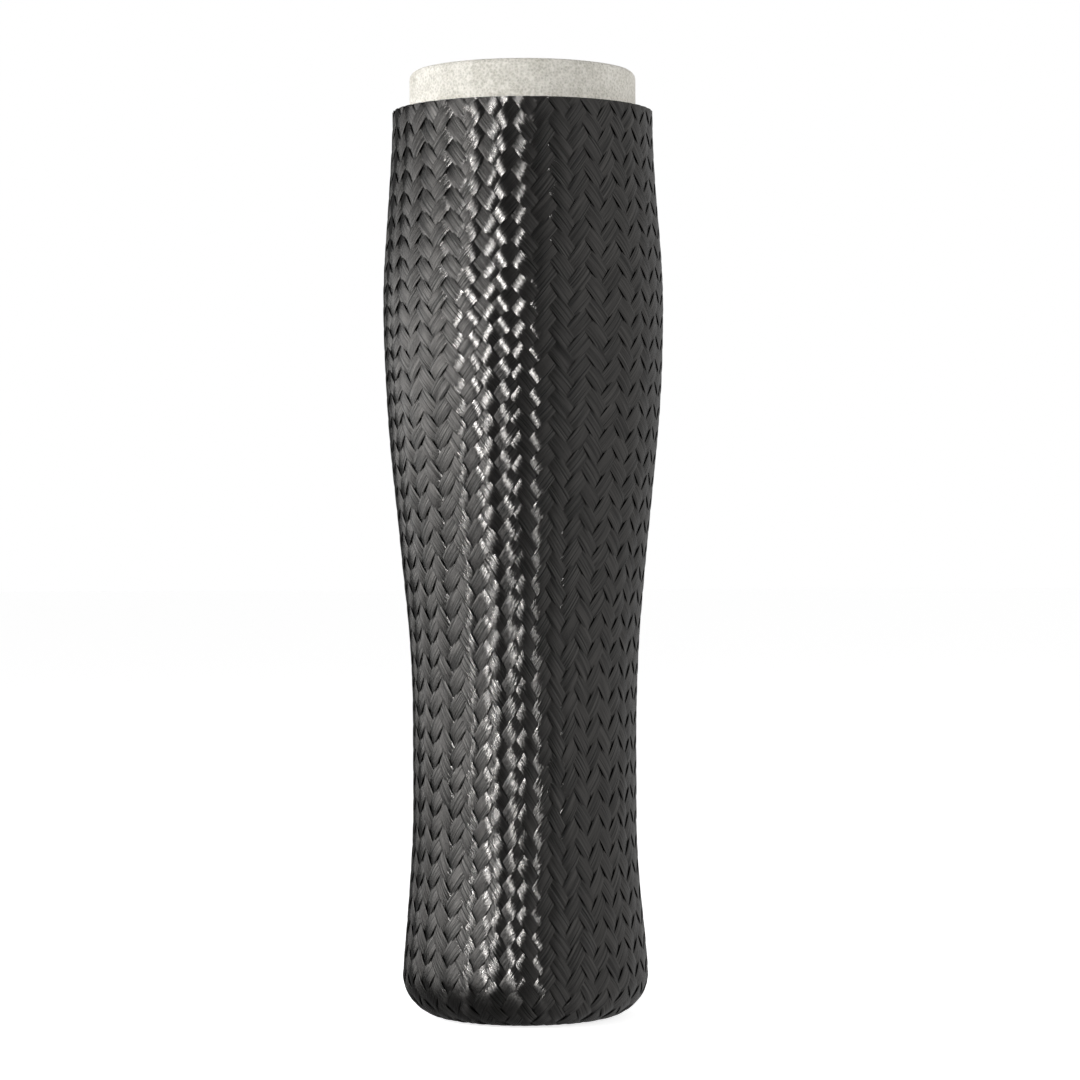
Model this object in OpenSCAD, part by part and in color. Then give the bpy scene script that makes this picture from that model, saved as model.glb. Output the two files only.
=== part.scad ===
// Shank of an exoskeletal prosthetic leg: a rigid foam core on an ankle block, four plies of
// braided carbon sleeve over it, and a pylon tube with an adapter at each end.
// Millimetres. +Z is up, the origin is the centre of the distal face that the foot bolts to.

/* [Shank outline] */
// Height from the distal face to the top of the foam stub
overall_h = 400; // [380:1:440]
// Length of bare foam that stands out above the braid
stub_h = 17; // [14:1:24]
// Radius of the bare foam stub
stub_r = 48; // [46:0.5:48.5]
// Outer radius of the braid at its cut top rim
rim_r = 55.2; // [54.6:0.1:57]
// Outer radius at the fullest part of the calf
calf_r = 59.4; // [57:0.1:64]
// Height of the fullest part of the calf
calf_z = 298; // [260:1:320]
// Outer radius of the neck above the ankle
neck_r = 47.45; // [46:0.05:50]
// Height at which the neck starts to widen towards the calf
neck_top_z = 122; // [110:1:160]
// Height at which the neck starts to widen towards the ankle
neck_bottom_z = 85; // [75:1:100]
// Outer radius that the side reaches at the ankle
ankle_r = 52.6; // [51:0.1:55]
// Radius of the rounded bottom edge
edge_r = 18; // [15:0.5:20]

/* [Braid] */
// Thickness of one ply of braided sleeve
ply_t = 1.5; // [1.2:0.05:1.5]
// Gap between the braid's lowest point and the distal face
braid_lift = 0.3; // [0.2:0.1:0.6]

/* [Ankle block] */
// Height of the joint between the ankle block and the foam core
block_top_z = 60; // [55:1:70]
// Diameter of the dowels between the ankle block and the foam core
dowel_d = 8; // [6:1:10]
// Length of the dowels
dowel_l = 44; // [30:1:50]

/* [Pylon tube] */
// Outer diameter of the pylon tube
tube_d = 30; // [30:0.5:32]
// Wall thickness of the pylon tube
tube_wall = 2; // [1.5:0.25:2.5]

/* [Foot end] */
// Thickness of the clamp ring that holds the braid ends, which is also the dish's depth
ring_t = 4; // [3.6:0.1:4.4]
// Wall diameter of the M10 tapped hole for the foot bolt
foot_tap_d = 8.5; // [8.5:0.1:8.7]
// Depth of the tapped hole
foot_tap_depth = 26; // [20:1:27]

/* [Socket end] */
// Diameter of the top adapter's disc
disc_d = 70; // [66:1:72]
// Thickness of the disc
disc_t = 8; // [8:0.5:9]
// Side of the square of the four socket screws
bolt_square = 36; // [36:1:38]
// Wall diameter of the four M6 tapped holes
socket_tap_d = 5; // [5:0.1:5.2]
// Diameter of the pocket in the foam that the adapter turns in
pocket_d = 76; // [76:1:80]

/* [Hidden] */
$fn = 96;
LAP = 1; // how far a cutting tool runs past the face that it cuts
FLUSH_GAP = 0.5; // gap between pieces that lie side by side without touching

plies = 4;
core_depth = plies * ply_t; // from the outer surface of the braid in to the core
rim_z = overall_h - stub_h;
edge_z = braid_lift + edge_r; // height of the bottom edge's centre

// The braid turns in under the ankle, then dips into a dish where the clamp ring holds it.
mouth_r = 21; // hole in the middle of the gathered braid
dish_r = 30; // flat floor of the dish
dish_z = ring_t;

side_steps = 46;
edge_steps = 7;

tube_r = tube_d / 2;
tube_bore_r = tube_r - tube_wall;
flange_t = dish_z + core_depth; // the foot adapter's flange reaches up to the ankle block
flange_r = mouth_r - 2 * FLUSH_GAP;
ring_inner_r = mouth_r - FLUSH_GAP;
spigot_h = 34;
pin_d = 5;
pin_z = flange_t + 23;

ring_screws_n = 6;
ring_screw_pcd = 53;
ring_screw_d = 4;
ring_screw_l = 26;
ring_screw_head_d = 8;
ring_screw_head_h = 2.2;
ring_screw_sink = 0.3; // the heads lie this far under the ring's face

dowels = 4;
dowel_pcd = 62;

pocket_depth = 30;
pocket_floor_z = overall_h - pocket_depth;
bush_r = 24;
bush_h = 10;

swivel_gap = 0.05; // radial running clearance of the clamp on the pylon tube
collar_r = 21;
collar_z = pocket_floor_z + 2.5;
disc_z = overall_h - disc_t;
tube_top_z = disc_z - 1;
plug_l = 12;

ear_x = 31; // how far the clamp's ears reach out from the tube's axis
ear_half_w = 9;
ear_z = disc_z - 11;
slit_w = 2;
clamp_screw_x = 25;
clamp_screw_z = disc_z - 5.3;
clamp_screw_d = 6;
clamp_head_d = 10;
clamp_head_h = 6;
clamp_tail_l = 7; // the screw's end stands out of the nut's side of the clamp
nut_h = 5;
nut_across_corners = 11.5;

key_hole_d = 7; // access for the hex key through the back of the foam stub
key_slot_left_x = 18;
key_slot_right_x = 31;
key_slot_y = 20;

// ---- outline of the shank ----

// Half a cosine wave from a to b, level at both ends.
function swell(a, b, t) = a + (b - a) * (0.5 - 0.5 * cos(180 * t));

// Outer radius of the braid at height z.
function shank_r(z) =
    z >= calf_z ? swell(calf_r, rim_r, (z - calf_z) / (rim_z - calf_z))
    : z >= neck_top_z ? swell(neck_r, calf_r, (z - neck_top_z) / (calf_z - neck_top_z))
    : z >= neck_bottom_z ? neck_r
    : swell(ankle_r, neck_r, z / neck_bottom_z);

edge_centre_r = shank_r(edge_z) - edge_r;

// The parts of the outline [r, z] that lies depth under the braid's outer surface.
function dish_outline(depth) = [[mouth_r, dish_z + depth], [dish_r, dish_z + depth]];

function edge_outline(depth) = [
    for (i = [0 : edge_steps - 1])
        let (a = -90 + 90 * i / edge_steps)
        [edge_centre_r + (edge_r - depth) * cos(a), edge_z + (edge_r - depth) * sin(a)]
];

function side_outline(depth) = [
    for (i = [0 : side_steps])
        let (z = edge_z + (rim_z - edge_z) * i / side_steps)
        [shank_r(z) - depth, z]
];

function outline(depth) = concat(dish_outline(depth), edge_outline(depth), side_outline(depth));

function reversed(list) = [for (i = [len(list) - 1 : -1 : 0]) list[i]];

// ---- shared shapes ----

// n copies on a circle of diameter pcd, the first at angle start.
module on_circle(n, pcd, start = 0) {
    for (i = [0 : n - 1])
        rotate([0, 0, start + 360 * i / n])
            translate([pcd / 2, 0, 0])
                children();
}

module rod(r, z0, z1) {
    translate([0, 0, z0])
        cylinder(r = r, h = z1 - z0);
}

// A cylinder along Y from y0 to y1.
module rod_y(r, y0, y1) {
    translate([0, y1, 0])
        rotate([90, 0, 0])
            cylinder(r = r, h = y1 - y0);
}

// ---- core ----

// The whole core under the braid, from the dish up to the top of the stub.
module core_blank() {
    top_edge_r = 3.2;
    stub_edge = [
        for (i = [0 : 4])
            let (a = 90 * i / 4)
            [stub_r - top_edge_r + top_edge_r * cos(a), overall_h - top_edge_r + top_edge_r * sin(a)]
    ];
    rotate_extrude()
        polygon(concat(
            [[0, dish_z + core_depth]],
            outline(core_depth),
            [[stub_r, rim_z]],
            stub_edge,
            [[0, overall_h]]
        ));
}

module dowel_rods() {
    mid_z = block_top_z;
    on_circle(dowels, dowel_pcd, 45)
        rod(dowel_d / 2, mid_z - dowel_l / 2, mid_z + dowel_l / 2);
}

// Opening in the back of the stub through which the key reaches the clamp screw.
module key_slot() {
    slot_l = stub_r;
    translate([0, 0, clamp_screw_z]) {
        for (x = [key_slot_left_x, key_slot_right_x])
            translate([x, 0, 0])
                rod_y(key_hole_d / 2, key_slot_y, slot_l);
        translate([key_slot_left_x, key_slot_y, -key_hole_d / 2])
            cube([key_slot_right_x - key_slot_left_x, slot_l - key_slot_y, key_hole_d]);
    }
}

module foam_core() {
    color("#e9e5db")
        difference() {
            core_blank();
            rod(calf_r, 0, block_top_z);
            rod(tube_r, 0, overall_h);
            rod(bush_r, pocket_floor_z - bush_h, pocket_floor_z + LAP);
            rod(pocket_d / 2, pocket_floor_z, overall_h + LAP);
            dowel_rods();
            key_slot();
        }
}

module ankle_block() {
    color("#b98c55")
        difference() {
            intersection() {
                core_blank();
                rod(calf_r, 0, block_top_z);
            }
            rod(tube_r, 0, block_top_z + LAP);
            dowel_rods();
            ring_screw_shanks();
        }
}

module block_dowels() {
    color("#d2b07a")
        dowel_rods();
}

module upper_tube_bush() {
    color("#f2f0ea")
        difference() {
            rod(bush_r, pocket_floor_z - bush_h, pocket_floor_z);
            rod(tube_r, 0, overall_h);
        }
}

// ---- pylon tube and foot end ----

module cross_pin_rod(half_l) {
    translate([0, 0, pin_z])
        rotate([0, 0, 90])
            rod_y(pin_d / 2, -half_l, half_l);
}

module pylon_tube() {
    color("#9a9da1")
        difference() {
            rod(tube_r, flange_t, tube_top_z);
            rod(tube_bore_r, 0, overall_h);
            cross_pin_rod(tube_d);
        }
}

module tube_plug() {
    color("#2b2b2d")
        rod(tube_bore_r, tube_top_z - plug_l, tube_top_z);
}

module foot_adapter() {
    chamfer = 1;
    color("#b7babd")
        difference() {
            union() {
                rod(flange_r, 0, flange_t);
                rod(tube_bore_r, 0, flange_t + spigot_h);
            }
            rod(foot_tap_d / 2, -LAP, foot_tap_depth);
            cylinder(r1 = foot_tap_d / 2 + chamfer, r2 = foot_tap_d / 2, h = chamfer);
            cross_pin_rod(tube_d);
        }
}

module adapter_cross_pin() {
    color("#8d9094")
        cross_pin_rod(tube_r - FLUSH_GAP);
}

// ---- clamp ring for the braid ends ----

module ring_screw_shanks() {
    on_circle(ring_screws_n, ring_screw_pcd)
        rod(ring_screw_d / 2, 0, ring_screw_l);
}

// Countersunk heads, drawn a little over the ring's face so that they also serve as the tool
// that sinks them.
module ring_screw_heads(z0) {
    on_circle(ring_screws_n, ring_screw_pcd)
        union() {
            rod(ring_screw_head_d / 2, z0, ring_screw_sink);
            translate([0, 0, ring_screw_sink])
                cylinder(d1 = ring_screw_head_d, d2 = ring_screw_d, h = ring_screw_head_h);
        }
}

module end_ring() {
    edge_land = 1; // height of the ring's straight outer edge
    dish_slope = (edge_centre_r - dish_r) / (dish_z - braid_lift); // radius gained per mm down
    land_r = dish_r + dish_slope * (dish_z - edge_land);
    color("#a9acb0")
        difference() {
            rotate_extrude()
                polygon([
                    [ring_inner_r, 0],
                    [land_r, 0],
                    [land_r, edge_land],
                    [dish_r, dish_z],
                    [ring_inner_r, dish_z]
                ]);
            ring_screw_shanks();
            ring_screw_heads(-LAP);
        }
}

module ring_screws() {
    hex_d = 2.9;
    hex_depth = 1.6;
    color("#5c5f63")
        difference() {
            union() {
                intersection() {
                    ring_screw_shanks();
                    rod(calf_r, ring_screw_sink, overall_h);
                }
                on_circle(ring_screws_n, ring_screw_pcd)
                    translate([0, 0, ring_screw_sink])
                        cylinder(d1 = ring_screw_head_d, d2 = ring_screw_d, h = ring_screw_head_h);
            }
            on_circle(ring_screws_n, ring_screw_pcd)
                translate([0, 0, ring_screw_sink - LAP])
                    cylinder(d = hex_d, h = hex_depth + LAP, $fn = 6);
        }
}

// ---- socket end ----

module clamp_ears() {
    translate([0, -ear_half_w, ear_z])
        cube([ear_x, 2 * ear_half_w, disc_z - ear_z]);
}

module socket_adapter() {
    edge = 1;
    color("#b7babd")
        difference() {
            union() {
                rod(disc_d / 2, disc_z, overall_h - edge);
                translate([0, 0, overall_h - edge])
                    cylinder(r1 = disc_d / 2, r2 = disc_d / 2 - edge, h = edge);
                rod(collar_r, collar_z, disc_z);
                clamp_ears();
            }
            rod(tube_r + swivel_gap, collar_z - LAP, tube_top_z + FLUSH_GAP);
            translate([0, -slit_w / 2, collar_z - LAP])
                cube([ear_x + LAP, slit_w, disc_z - collar_z + LAP]);
            translate([clamp_screw_x, 0, clamp_screw_z])
                rod_y(clamp_screw_d / 2, -2 * ear_half_w, 2 * ear_half_w);
            for (x = [-1, 1], y = [-1, 1])
                translate([x * bolt_square / 2, y * bolt_square / 2, 0])
                    rod(socket_tap_d / 2, collar_z, overall_h + LAP);
        }
}

module clamp_screw() {
    hex_d = 5.8;
    hex_depth = 3;
    color("#3a3c3f")
        translate([clamp_screw_x, 0, clamp_screw_z])
            difference() {
                union() {
                    rod_y(clamp_screw_d / 2, -ear_half_w - clamp_tail_l, ear_half_w);
                    rod_y(clamp_head_d / 2, ear_half_w, ear_half_w + clamp_head_h);
                }
                translate([0, ear_half_w + clamp_head_h + LAP, 0])
                    rotate([90, 0, 0])
                        cylinder(d = hex_d, h = hex_depth + LAP, $fn = 6);
            }
}

module clamp_nut() {
    color("#8d9094")
        translate([clamp_screw_x, -ear_half_w, clamp_screw_z])
            rotate([90, 0, 0])
                difference() {
                    cylinder(d = nut_across_corners, h = nut_h, $fn = 6);
                    translate([0, 0, -LAP])
                        cylinder(d = clamp_screw_d, h = nut_h + 2 * LAP);
                }
}

// ---- braided sleeves, counted from the core outwards ----

module braid_ply(number) {
    outer_depth = (plies - number) * ply_t;
    color(number == plies ? "#3a3a3c" : "#2c2c2e")
        difference() {
            rotate_extrude()
                polygon(concat(outline(outer_depth), reversed(outline(outer_depth + ply_t))));
            ring_screw_shanks();
        }
}

foam_core();
ankle_block();
block_dowels();
upper_tube_bush();
pylon_tube();
tube_plug();
foot_adapter();
adapter_cross_pin();
end_ring();
ring_screws();
socket_adapter();
clamp_screw();
clamp_nut();
braid_ply(1);  // braid_ply_1
braid_ply(2);  // braid_ply_2
braid_ply(3);  // braid_ply_3
braid_ply(4);  // braid_ply_4
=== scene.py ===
"""Looks of the carbon-braided prosthetic shank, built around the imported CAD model. Metres."""

import math

import bmesh
import bpy
import numpy as np
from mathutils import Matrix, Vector


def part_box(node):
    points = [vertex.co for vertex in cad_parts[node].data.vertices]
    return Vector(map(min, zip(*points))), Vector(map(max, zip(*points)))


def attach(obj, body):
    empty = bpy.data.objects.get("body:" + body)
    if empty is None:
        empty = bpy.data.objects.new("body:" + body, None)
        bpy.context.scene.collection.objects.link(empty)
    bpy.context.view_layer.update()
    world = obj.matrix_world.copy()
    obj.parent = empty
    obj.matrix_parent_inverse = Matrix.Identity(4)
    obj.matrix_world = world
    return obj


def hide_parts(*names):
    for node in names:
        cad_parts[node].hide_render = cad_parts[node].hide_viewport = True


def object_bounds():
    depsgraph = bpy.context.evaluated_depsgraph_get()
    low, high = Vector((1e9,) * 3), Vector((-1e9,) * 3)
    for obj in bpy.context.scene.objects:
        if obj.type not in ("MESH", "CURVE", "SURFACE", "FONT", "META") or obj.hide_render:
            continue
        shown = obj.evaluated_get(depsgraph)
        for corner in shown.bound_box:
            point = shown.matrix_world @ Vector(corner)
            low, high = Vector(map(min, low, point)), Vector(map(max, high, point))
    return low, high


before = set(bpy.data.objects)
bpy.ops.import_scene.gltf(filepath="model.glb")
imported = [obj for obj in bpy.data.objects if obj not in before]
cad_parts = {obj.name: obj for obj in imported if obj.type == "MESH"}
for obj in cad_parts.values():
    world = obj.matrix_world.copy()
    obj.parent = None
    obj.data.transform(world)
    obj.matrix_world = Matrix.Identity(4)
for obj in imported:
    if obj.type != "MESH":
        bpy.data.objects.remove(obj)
CAD_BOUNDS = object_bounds()

MM = 0.001
SEED = 11
PLY = "braid_ply_4"  # the outer sleeve, which the woven tows stand for

# ---- outline of the shank, as in the CAD model ----

RIM_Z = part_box(PLY)[1][2]
FOOT_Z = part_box(PLY)[0][2]
RIM_R = 55.2 * MM
CALF_R = 59.4 * MM
CALF_Z = 298 * MM
NECK_R = 47.45 * MM
NECK_TOP_Z = 122 * MM
NECK_BOTTOM_Z = 85 * MM
ANKLE_R = 52.6 * MM
EDGE_R = 18 * MM  # the rounded bottom edge
DISH_R = 30 * MM  # the flat floor of the dish that the end ring sits in
DISH_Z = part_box("end_ring")[1][2]
DISH_TAIL = 4 * MM  # how far the tows run on over the dish's floor
SPARE_ABOVE_RIM = 12 * MM  # straight part above the rim, which is cut off
OUTLINE_STEP = 0.4 * MM  # between points of the outline
SLOPE_POINTS = 11  # points on the slope from the rounded edge up into the dish

# ---- the braid ----

TOWS_EACH_WAY = 48
TWILL = 4  # half cells in one repeat of the over-two, under-two weave
REPEATS = 2 * TOWS_EACH_WAY // TWILL  # the weave repeats this often round the shank
HALF_CELL = math.radians(360 / (2 * TOWS_EACH_WAY))  # azimuth from one crossing to the next
PHASE = math.radians(6.8)  # azimuth of the first crossing, from the front towards +X
CROSSING = 6.06 * MM  # distance between crossings along a tow, the same all over the sleeve
TOW_T = 0.55 * MM  # thickness of a tow at its middle
TOW_FILL = 1.13  # width of a tow as a share of its room, so that edges just overlap
WAVE = 1.15  # how far a tow rises and falls from the middle, as a share of its thickness
WAVE_SQUARENESS = 0.7  # near 0 it is a cosine wave; larger values give flatter floats
WEAVE_DEPTH = 0.90 * MM  # from the sleeve's outer surface in to the middle of the weave
STEPS = 5  # rungs of the mesh for each crossing
ROWS_PAST_RIM = 3.2  # rows by which each tow runs past the rim before it is cut
MOST_BULK = 1.06  # a tow that is squeezed narrower thickens by up to this factor
SHARP_ANGLE = math.radians(50)  # edges sharper than this aren't smoothed over


def swell(a, b, t):
    """Half a cosine wave from a to b, level at both ends."""
    return a + (b - a) * (0.5 - 0.5 * np.cos(np.pi * t))


def shank_radius(z):
    """Outer radius of the sleeve at each height z."""
    calf = swell(CALF_R, RIM_R, (z - CALF_Z) / (RIM_Z - CALF_Z))
    middle = swell(NECK_R, CALF_R, (z - NECK_TOP_Z) / (CALF_Z - NECK_TOP_Z))
    ankle = swell(ANKLE_R, NECK_R, z / NECK_BOTTOM_Z)
    return np.select([z >= CALF_Z, z >= NECK_TOP_Z, z >= NECK_BOTTOM_Z], [calf, middle, NECK_R], ankle)


class Meridian:
    """The sleeve's outline from above the rim down into the dish, by the row of crossings.

    Row 0 is at the rim. Rows are positive above it and negative all the way down the sleeve."""

    def __init__(self):
        step = OUTLINE_STEP
        edge_z = FOOT_Z + EDGE_R
        above = np.arange(RIM_Z + SPARE_ABOVE_RIM, RIM_Z, -step)
        side = np.arange(RIM_Z, edge_z, -step)
        turn = np.arange(0, math.pi / 2, step / EDGE_R)
        edge_centre_r = shank_radius(np.array([edge_z]))[0] - EDGE_R
        slope = np.linspace(0, 1, SLOPE_POINTS + 1)[:-1]
        floor = np.arange(DISH_R, DISH_R - DISH_TAIL, -step)
        r = np.concatenate([
            np.full(len(above), RIM_R),
            shank_radius(side),
            edge_centre_r + EDGE_R * np.cos(turn),
            edge_centre_r + (DISH_R - edge_centre_r) * slope,
            floor,
        ])
        z = np.concatenate([
            above,
            side,
            edge_z - EDGE_R * np.sin(turn),
            FOOT_Z + (DISH_Z - FOOT_Z) * slope,
            np.full(len(floor), DISH_Z),
        ])
        dr, dz = np.gradient(r), np.gradient(z)
        length = np.hypot(dr, dz)
        self.r, self.z = r, z
        self.nr, self.nz = -dz / length, dr / length
        # A trellis of fixed tow length: the rows open up as the sleeve narrows.
        girth = np.pi * r / TOWS_EACH_WAY
        row_height = np.sqrt(CROSSING**2 - girth**2)
        row = -np.cumsum(length / row_height)
        self.row = row - np.interp(RIM_Z, z[::-1], row[::-1])
        self.lean = np.arcsin(girth / CROSSING)  # angle between a tow and the meridian
        self.last_row = self.row[-1]

    def at(self, row):
        """Radius, height, normal and lean at each row."""
        fields = (self.r, self.z, self.nr, self.nz, self.lean)
        return [np.interp(-row, -self.row, field) for field in fields]


def weave_height(x):
    """Up to 1 where a tow floats on top (x from 0 to 1), down to -1 where it dives under (2 to 3)."""
    wave = np.tanh(WAVE_SQUARENESS * np.cos(np.pi / 2 * (x - 0.5)))
    return wave / math.tanh(WAVE_SQUARENESS)


def tow_section():
    """Ring of points round a flat tow: place across it and height over its middle, from -1 to 1."""
    outer = [(-1, 0.72), (-0.95, 0.92), (-0.70, 0.98), (0, 1), (0.70, 0.98), (0.95, 0.92), (1, 0.72)]
    inner = [(0.9, -0.8), (0, -0.8), (-0.9, -0.8)]
    across, height = np.array(outer + inner).T
    return across, height


def tow_mesh(meridian, index, way):
    """One tow from the dish to above the rim. way is +1 for tows that climb to the right."""
    across, section = tow_section()
    start = meridian.last_row + 1
    rungs = int((ROWS_PAST_RIM - start) * STEPS)
    travel = way * (start + np.arange(rungs) / STEPS)
    along = travel[:, None] + index
    offset = index + across[None, :] * TOW_FILL / 2
    row = (along - offset) * way
    cell = along + offset
    r, z, nr, nz, lean = meridian.at(row)
    room = np.sin(2 * lean) * CROSSING
    calf_lean = math.asin(math.pi * CALF_R / TOWS_EACH_WAY / CROSSING)
    widest = math.sin(2 * calf_lean) * CROSSING
    bulk = np.clip(widest / room, 1, MOST_BULK)
    tow_t = TOW_T * bulk
    float_height = way * weave_height(along + index)
    height = (WAVE * float_height + section[None, :] / 2) * tow_t
    lift = height - WEAVE_DEPTH
    azimuth = PHASE + HALF_CELL * cell
    rho = r + nr * lift
    points = np.stack([rho * np.sin(azimuth), -rho * np.cos(azimuth), z + nz * lift], axis=-1)
    uv = np.stack([
        np.broadcast_to(across[None, :] * room / 2, row.shape),
        np.broadcast_to(travel[:, None] * CROSSING, row.shape),
    ], axis=-1)
    return cut_at_rim(points, uv, np.broadcast_to(float_height, row.shape))


def cut_at_rim(points, uv, float_height):
    """Closes the tow's tube and cuts it level at the rim: vertices, faces, UVs, float heights."""
    rungs, ring = points.shape[:2]
    bm = bmesh.new()
    layer = bm.loops.layers.uv.new("tow")
    rise = bm.verts.layers.float.new("tow_rise")
    verts = [bm.verts.new(p) for p in points.reshape(-1, 3)]
    flat_uv = uv.reshape(-1, 2)
    for vert, value in zip(verts, float_height.ravel()):
        vert[rise] = value
    bm.verts.index_update()

    def add_face(indices):
        face = bm.faces.new([verts[i] for i in indices])
        for loop, i in zip(face.loops, indices):
            loop[layer].uv = flat_uv[i]

    for i in range(rungs - 1):
        for j in range(ring):
            k = (j + 1) % ring
            add_face([i * ring + j, i * ring + k, (i + 1) * ring + k, (i + 1) * ring + j])
    add_face(range(ring))
    add_face(range((rungs - 1) * ring, rungs * ring))
    geometry = bm.verts[:] + bm.edges[:] + bm.faces[:]
    cut = bmesh.ops.bisect_plane(
        bm, geom=geometry, plane_co=(0, 0, RIM_Z), plane_no=(0, 0, 1), clear_outer=True
    )
    rim_edges = [e for e in cut["geom_cut"] if isinstance(e, bmesh.types.BMEdge)]
    bmesh.ops.edgeloop_fill(bm, edges=rim_edges)
    bmesh.ops.recalc_face_normals(bm, faces=bm.faces)
    bm.verts.index_update()
    vertices = np.array([v.co for v in bm.verts])
    faces = [[v.index for v in f.verts] for f in bm.faces]
    uvs = [[tuple(loop[layer].uv) for loop in f.loops] for f in bm.faces]
    rises = np.array([v[rise] for v in bm.verts])
    bm.free()
    return vertices, faces, uvs, rises


def unevenness(points):
    """Small smooth shifts, as a hand-pulled sleeve has: none at the rim, nor under the ring."""
    x, y, z = points.T
    azimuth = np.arctan2(x, -y)
    share = z / RIM_Z
    below_rim = np.clip((RIM_Z - z) / (12 * MM), 0, 1)
    above_ring = np.clip((z - 6 * MM) / (20 * MM), 0, 1)
    free = below_rim * above_ring

    def ripple(size, lobes, climb, start=0):
        return size * np.sin(lobes * azimuth + climb * share + start)

    sideways = ripple(0.010, 3, 7) + ripple(0.006, 7, -23, 1)
    upward = ripple(0.7 * MM, 2, 11, 2) + ripple(0.35 * MM, 11, 31)
    swelling = ripple(0.10 * MM, 9, 17) + ripple(0.08 * MM, 23, -41)
    turned = azimuth + sideways * free
    radius = np.hypot(x, y) + swelling * free
    return np.stack([radius * np.sin(turned), -radius * np.cos(turned), z + upward * free], axis=-1)


def braid_piece(name, tows, turns, material, rng):
    """One mesh of the given tows, each copied round the shank once for each turn."""
    vertices, faces, uvs, shades, rises = [], [], [], [], []
    start = 0
    for base_vertices, base_faces, base_uvs, base_rises in tows:
        for turn in turns:
            angle = turn * TWILL * HALF_CELL
            c, s = math.cos(angle), math.sin(angle)
            x, y, z = base_vertices.T
            vertices.append(np.stack([x * c - y * s, x * s + y * c, z], axis=-1))
            faces.extend([[i + start for i in face] for face in base_faces])
            uvs.extend(base_uvs)
            shades.append(np.full(len(base_vertices), rng.random()))
            rises.append(base_rises)
            start += len(base_vertices)
    mesh = bpy.data.meshes.new(name)
    mesh.from_pydata(unevenness(np.concatenate(vertices)).tolist(), [], faces)
    uv_layer = mesh.uv_layers.new(name="tow")
    uv_layer.data.foreach_set("uv", np.array([c for face in uvs for c in face]).ravel())
    # tow_rise is the weave height; the tow material uses it to paint shade where a tow dives under.
    for attribute, values in (("tow_shade", shades), ("tow_rise", rises)):
        point_layer = mesh.attributes.new(attribute, "FLOAT", "POINT")
        point_layer.data.foreach_set("value", np.concatenate(values))
    mesh.shade_smooth()
    mesh.set_sharp_from_angle(angle=SHARP_ANGLE)
    piece = bpy.data.objects.new(name, mesh)
    bpy.context.collection.objects.link(piece)
    mesh.materials.append(material)
    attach(piece, "shank")
    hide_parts(PLY)
    return piece


# ---- materials ----

class Shader:
    """A short way to write a node material around one Principled shader."""

    def __init__(self, name):
        self.material = bpy.data.materials.new(name)
        self.material.use_nodes = True
        self.tree = self.material.node_tree
        self.bsdf = self.tree.nodes["Principled BSDF"]

    def node(self, kind, inputs=None, **settings):
        made = self.tree.nodes.new("ShaderNode" + kind)
        for key, value in settings.items():
            setattr(made, key, value)
        for key, value in (inputs or {}).items():
            self.plug(made, key, value)
        return made

    def plug(self, node, key, value):
        if isinstance(value, bpy.types.NodeSocket):
            self.tree.links.new(value, node.inputs[key])
        else:
            node.inputs[key].default_value = value

    def set(self, **values):
        for key, value in values.items():
            self.plug(self.bsdf, key.replace("_", " "), value)

    def math(self, operation, a, b):
        return self.node("Math", {0: a, 1: b}, operation=operation).outputs[0]

    def ramp(self, value, low, high, out_low=0.0, out_high=1.0):
        """value from low..high mapped to out_low..out_high, held at the ends."""
        inputs = {"Value": value, "From Min": low, "From Max": high, "To Min": out_low, "To Max": out_high}
        return self.node("MapRange", inputs).outputs["Result"]

    def mix(self, factor, a, b):
        node = self.node("Mix", data_type="RGBA")
        self.plug(node, 0, factor)
        self.plug(node, 6, a)
        self.plug(node, 7, b)
        return node.outputs[2]

    def noise(self, vector, scale, detail, roughness):
        inputs = {"Vector": vector, "Scale": scale, "Detail": detail, "Roughness": roughness}
        return self.node("TexNoise", inputs).outputs["Fac"]

    def bump(self, height, distance, strength=1.0):
        inputs = {"Height": height, "Distance": distance, "Strength": strength}
        return self.node("Bump", inputs).outputs["Normal"]

    def object_point(self):
        return self.node("TexCoord").outputs["Object"]


def grey(value, warmth=0.0):
    return (value * (1 + warmth), value, value * (1 - warmth), 1.0)


def carbon_tow():
    """Bundles of filaments: streaks along the tow, and a sheen that runs across it."""
    s = Shader("carbon_tow")
    uv = s.node("UVMap", uv_map="tow").outputs["UV"]
    stretch = s.node("VectorMath", {0: uv, 1: (1.0, 0.012, 1.0)}, operation="MULTIPLY").outputs[0]
    shade = s.node("Attribute", attribute_name="tow_shade").outputs["Fac"]
    shift = s.node("CombineXYZ", {"X": shade, "Y": shade, "Z": shade}).outputs[0]
    point = s.node("VectorMath", {0: stretch, 1: shift}, operation="ADD").outputs[0]
    strands = s.noise(point, 4800, 2, 0.6)
    bundles = s.noise(point, 1800, 2, 0.6)
    waves = s.node("VectorMath", {0: point, 1: (1.0, 16.0, 1.0)}, operation="MULTIPLY").outputs[0]
    curls = s.noise(waves, 1500, 2, 0.5)
    streak = s.ramp(s.math("ADD", strands, bundles), 0.80, 1.25)
    relief = s.math("ADD", s.math("ADD", strands, bundles), s.math("MULTIPLY", curls, 0.45))
    rise = s.node("Attribute", attribute_name="tow_rise").outputs["Fac"]
    fibre = s.mix(streak, grey(0.045, 0.02), grey(0.115, 0.04))
    s.set(
        # Where the tow dives under the crossing tows (tow_rise below -0.2), the base colour fades to a
        # flat dark grey: painted shade in the hollows at the ends of each float.
        Base_Color=s.mix(s.ramp(rise, -1.0, -0.2), grey(0.055), fibre),
        Metallic=1.0,
        Roughness=s.ramp(streak, 0, 1, 0.29, 0.21),
        Anisotropic=1.0,
        Tangent=s.node("Tangent", direction_type="UV_MAP", uv_map="tow").outputs[0],
        Normal=s.bump(relief, 0.00010, 1.0),
    )
    return s.material


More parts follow.
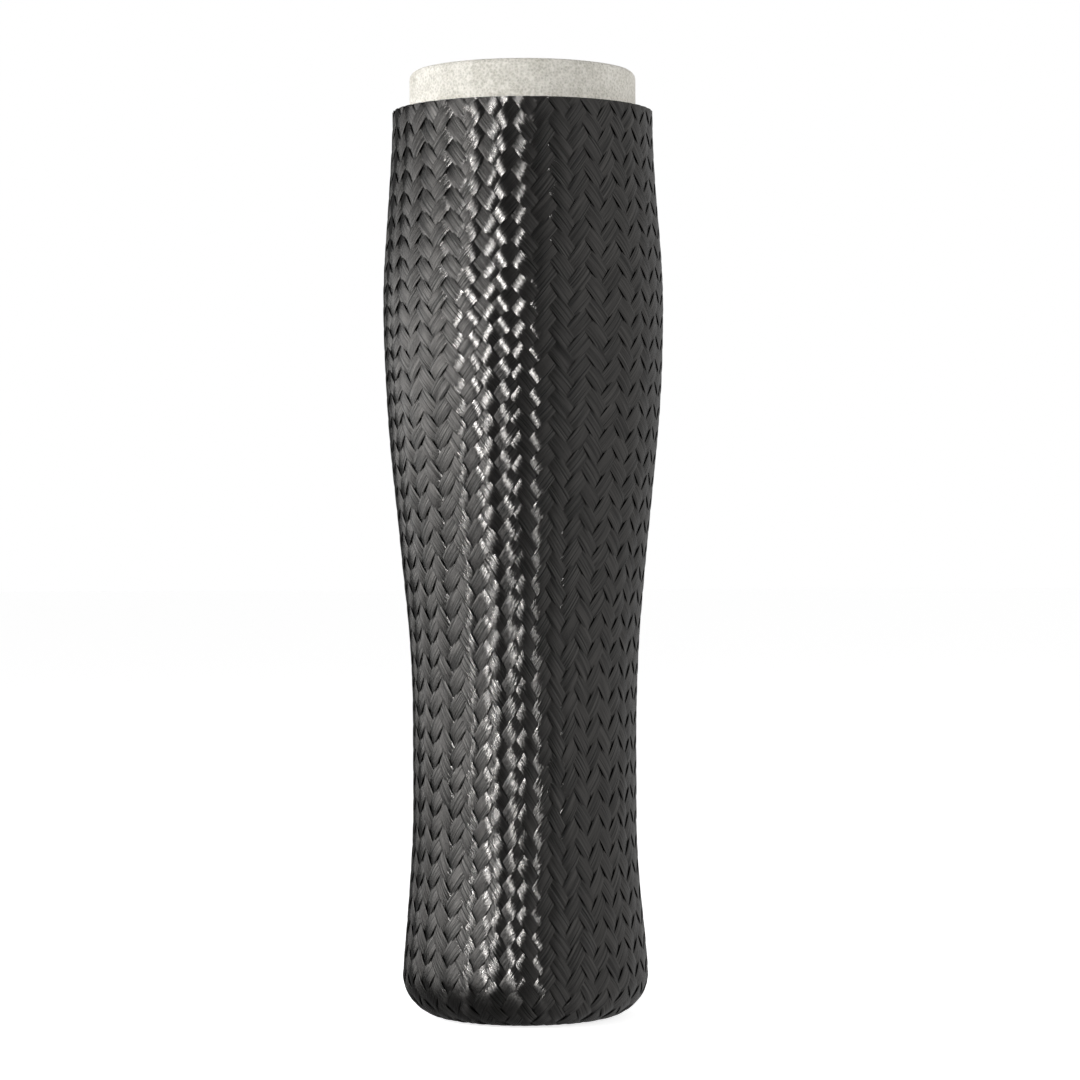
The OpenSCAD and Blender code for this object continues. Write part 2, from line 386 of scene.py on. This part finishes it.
def carbon_under():
    """The inner sleeves: only their cut ends and what shows between the outer tows."""
    s = Shader("carbon_under")
    point = s.object_point()
    fibres = s.noise(point, 2500, 3, 0.6)
    s.set(
        Base_Color=s.mix(fibres, grey(0.05), grey(0.10)),
        Metallic=0.3,
        Roughness=0.6,
        Normal=s.bump(fibres, 0.0001),
    )
    return s.material


def rigid_foam():
    """Open-grained cream polyurethane foam, sawn and sanded."""
    s = Shader("rigid_foam")
    point = s.object_point()
    grains = s.node("TexVoronoi", {"Vector": point, "Scale": 860.0}).outputs["Distance"]
    fine = s.noise(point, 1400, 3, 0.7)
    patches = s.noise(point, 90, 3, 0.6)
    height = s.math("ADD", s.math("MULTIPLY", grains, 0.7), fine)
    tone = s.ramp(s.math("ADD", height, patches), 0.95, 1.62)
    s.set(
        Base_Color=s.mix(tone, (0.55, 0.53, 0.46, 1), (0.90, 0.87, 0.80, 1)),
        Roughness=0.85,
        Normal=s.bump(height, 0.0004, 1.0),
    )
    return s.material


def machined_metal(name, colour, roughness, grain, stretch=(1, 1, 1)):
    """Metal with tool marks: fine lines where stretch is uneven, a fine blast where it is even."""
    s = Shader(name)
    point = s.node("VectorMath", {0: s.object_point(), 1: stretch}, operation="MULTIPLY").outputs[0]
    marks = s.noise(point, grain, 3, 0.6)
    smears = s.noise(point, grain / 20, 2, 0.5)
    s.set(
        Base_Color=s.mix(smears, (*[0.85 * c for c in colour], 1), (*colour, 1)),
        Metallic=1.0,
        Roughness=s.ramp(s.math("ADD", marks, smears), 0.6, 1.4, roughness * 0.8, roughness * 1.25),
        Normal=s.bump(marks, 0.00002, 0.6),
    )
    return s.material


def moulded_plastic(name, colour):
    s = Shader(name)
    texture = s.noise(s.object_point(), 1800, 2, 0.5)
    s.set(
        Base_Color=s.mix(texture, (*[0.8 * c for c in colour], 1), (*colour, 1)),
        Roughness=s.ramp(texture, 0.3, 0.7, 0.42, 0.58),
        Normal=s.bump(texture, 0.00004, 0.5),
    )
    return s.material


def sanded_wood():
    s = Shader("sanded_wood")
    stretch = s.node("VectorMath", {0: s.object_point(), 1: (1, 1, 0.08)}, operation="MULTIPLY").outputs[0]
    wave = {"Vector": stretch, "Scale": 60.0, "Distortion": 6.0, "Detail": 3.0}
    rings = s.node("TexWave", wave).outputs["Fac"]
    pores = s.noise(stretch, 2500, 2, 0.5)
    s.set(
        Base_Color=s.mix(rings, (0.50, 0.31, 0.15, 1), (0.64, 0.44, 0.25, 1)),
        Roughness=0.6,
        Normal=s.bump(pores, 0.00008, 0.6),
    )
    return s.material


def dress_cad_nodes():
    steel = machined_metal("plated_steel", (0.62, 0.61, 0.58), 0.34, 4000)
    black_steel = machined_metal("black_oxide_steel", (0.075, 0.076, 0.080), 0.36, 3000)
    blasted = machined_metal("blasted_aluminium", (0.80, 0.81, 0.82), 0.40, 5200)
    turned = machined_metal("turned_aluminium", (0.78, 0.79, 0.80), 0.30, 1800, (1, 1, 4))
    drawn = machined_metal("drawn_aluminium", (0.70, 0.71, 0.73), 0.28, 3000, (1, 1, 0.05))
    wood = sanded_wood()
    under = carbon_under()
    looks = {
        "foam_core": rigid_foam(),
        "ankle_block": wood,
        "block_dowels": wood,
        "upper_tube_bush": moulded_plastic("nylon", (0.80, 0.79, 0.74)),
        "tube_plug": moulded_plastic("black_cap", (0.03, 0.03, 0.032)),
        "pylon_tube": drawn,
        "foot_adapter": blasted,
        "socket_adapter": blasted,
        "end_ring": turned,
        "adapter_cross_pin": steel,
        "clamp_nut": steel,
        "ring_screws": black_steel,
        "clamp_screw": black_steel,
        "braid_ply_1": under,
        "braid_ply_2": under,
        "braid_ply_3": under,
    }
    for node, material in looks.items():
        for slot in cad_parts[node].material_slots:
            slot.material = material


# ---- studio ----

CAMERA_AT = Vector((0.0068, -1.41, 0.2016))
CAMERA_LENS = 110.6  # mm
CAMERA_SENSOR = 36  # mm
CAMERA_ROLL = math.radians(0.2)
FLOOR_HALF = 12.0  # half of the floor's side
ROOM_LIGHT_LEFT = 0.14  # strength from the left, the front and behind
ROOM_LIGHT_RIGHT = 0.59


def add_camera():
    data = bpy.data.cameras.new("camera")
    data.lens = CAMERA_LENS
    data.sensor_width = CAMERA_SENSOR
    camera = bpy.data.objects.new("camera", data)
    camera.location = CAMERA_AT
    camera.rotation_euler = (math.pi / 2, CAMERA_ROLL, 0)
    bpy.context.collection.objects.link(camera)
    bpy.context.scene.camera = camera


def add_softbox(name, place, aim, size, power, diffuse=True, glossy=True):
    data = bpy.data.lights.new(name, "AREA")
    data.shape = "RECTANGLE"
    data.size, data.size_y = size
    data.energy = power
    lamp = bpy.data.objects.new(name, data)
    lamp.location = place
    lamp.rotation_euler = (Vector(aim) - Vector(place)).to_track_quat("-Z", "Y").to_euler()
    lamp.visible_diffuse = diffuse
    lamp.visible_glossy = glossy
    bpy.context.collection.objects.link(lamp)


def add_world():
    """A white studio: what the camera sees behind the object is brighter than what lights it."""
    world = bpy.data.worlds.new("studio")
    world.use_nodes = True
    tree = world.node_tree
    seen, lit = tree.nodes["Background"], tree.nodes.new("ShaderNodeBackground")
    seen.inputs["Strength"].default_value = 1.0
    seen.inputs["Color"].default_value = (1, 1, 1, 1)
    direction = tree.nodes.new("ShaderNodeTexCoord")
    split = tree.nodes.new("ShaderNodeSeparateXYZ")
    tree.links.new(direction.outputs["Generated"], split.inputs[0])
    rightward = tree.nodes.new("ShaderNodeMapRange")
    rightward.inputs["From Min"].default_value = 0.0
    rightward.inputs["From Max"].default_value = 0.7
    rightward.inputs["To Min"].default_value = ROOM_LIGHT_LEFT
    rightward.inputs["To Max"].default_value = ROOM_LIGHT_RIGHT
    tree.links.new(split.outputs["X"], rightward.inputs["Value"])
    tree.links.new(rightward.outputs["Result"], lit.inputs["Strength"])
    lit.inputs["Color"].default_value = (1, 1, 1, 1)
    path = tree.nodes.new("ShaderNodeLightPath")
    mix = tree.nodes.new("ShaderNodeMixShader")
    tree.links.new(path.outputs["Is Camera Ray"], mix.inputs[0])
    tree.links.new(lit.outputs[0], mix.inputs[1])
    tree.links.new(seen.outputs[0], mix.inputs[2])
    tree.links.new(mix.outputs[0], tree.nodes["World Output"].inputs["Surface"])
    bpy.context.scene.world = world


def add_floor():
    half = FLOOR_HALF
    corners = [(-half, -half, 0), (half, -half, 0), (half, half, 0), (-half, half, 0)]
    mesh = bpy.data.meshes.new("floor")
    mesh.from_pydata(corners, [], [(0, 1, 2, 3)])
    s = Shader("pale_floor")
    speckle = s.noise(s.object_point(), 40, 2, 0.5)
    s.set(
        Base_Color=s.mix(speckle, grey(0.88), grey(0.90)),
        Roughness=0.9,
        Emission_Color=(1, 1, 1, 1),
        Emission_Strength=0.75,
    )
    mesh.materials.append(s.material)
    floor = bpy.data.objects.new("floor", mesh)
    floor.location.z = CAD_BOUNDS[0][2]
    floor.visible_diffuse = False  # the glowing floor doesn't light the shank from below
    floor.visible_glossy = False
    bpy.context.collection.objects.link(floor)


def add_studio():
    add_world()
    add_floor()
    middle = (0, 0, RIM_Z / 2)
    add_softbox("window", (-0.64, -1.35, 0.36), middle, (0.14, 0.12), 14, diffuse=False)
    add_softbox("left_bank", (-1.03, -0.5, 0.31), middle, (0.95, 0.42), 5.3, diffuse=False)
    add_softbox("rear_bank", (-1.05, 0.34, 0.28), middle, (0.90, 0.40), 3.1, diffuse=False)
    add_softbox("left_key", (-1.29, -0.60, 0.5), middle, (0.9, 0.9), 24.5, glossy=False)
    add_softbox("right_fill", (1.2, -1.0, 0.5), middle, (0.9, 0.9), 9, glossy=False)
    add_camera()
    bpy.context.scene.view_settings.view_transform = "Standard"


def add_braid():
    """The outer sleeve: the tows of each way, in two pieces that each go half the way round."""
    rng = np.random.default_rng(SEED)
    meridian = Meridian()
    tow = carbon_tow()
    half = REPEATS // 2
    for side, way in (("right", 1), ("left", -1)):
        tows = [tow_mesh(meridian, index, way) for index in (0, 1)]
        for part, turns in (("a", range(half)), ("b", range(half, REPEATS))):
            braid_piece(f"tows_{side}_{part}", tows, turns, tow, rng)


add_studio()
add_braid()
dress_cad_nodes()
